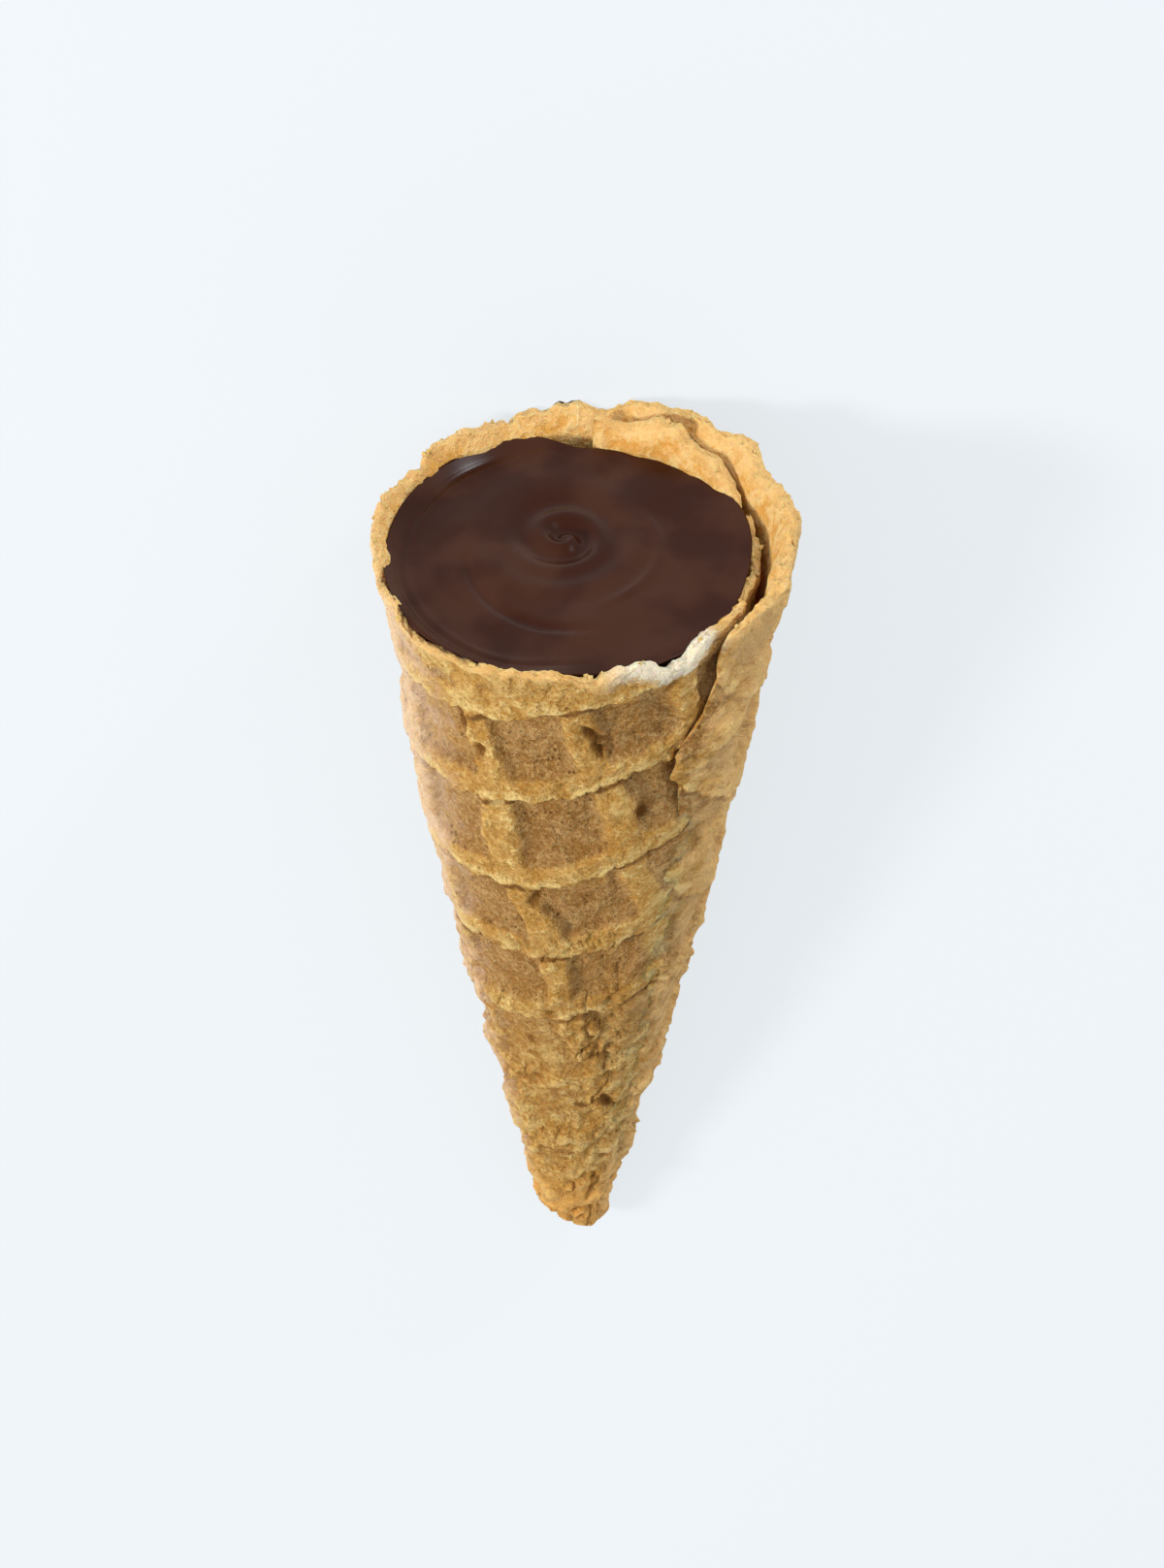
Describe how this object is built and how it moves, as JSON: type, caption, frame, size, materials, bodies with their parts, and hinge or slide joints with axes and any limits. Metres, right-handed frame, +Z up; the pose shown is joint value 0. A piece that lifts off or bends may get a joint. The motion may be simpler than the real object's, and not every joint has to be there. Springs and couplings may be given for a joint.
{
  "type": "filled waffle cone",
  "caption": "Rolled waffle cone filled level with dark chocolate, lying on its side with the mouth at one end.",
  "frame": {"origin": "middle of the bounding box's underside, on the surface that the cone lies on", "axes": "+Z up from that surface, the mouth faces -Y and the tip points to +Y, and the outer edge of the rolled sheet runs along the top at -X"},
  "size_m": [0.0426, 0.1058, 0.04],
  "materials": {
    "waffle": "baked, dry and porous, golden tan",
    "dark_chocolate": "satin, poured and set"
  },
  "bodies": {
    "root": {"waffle_cone": "waffle", "chocolate_filling": "dark_chocolate"}
  },
  "joints": []
}
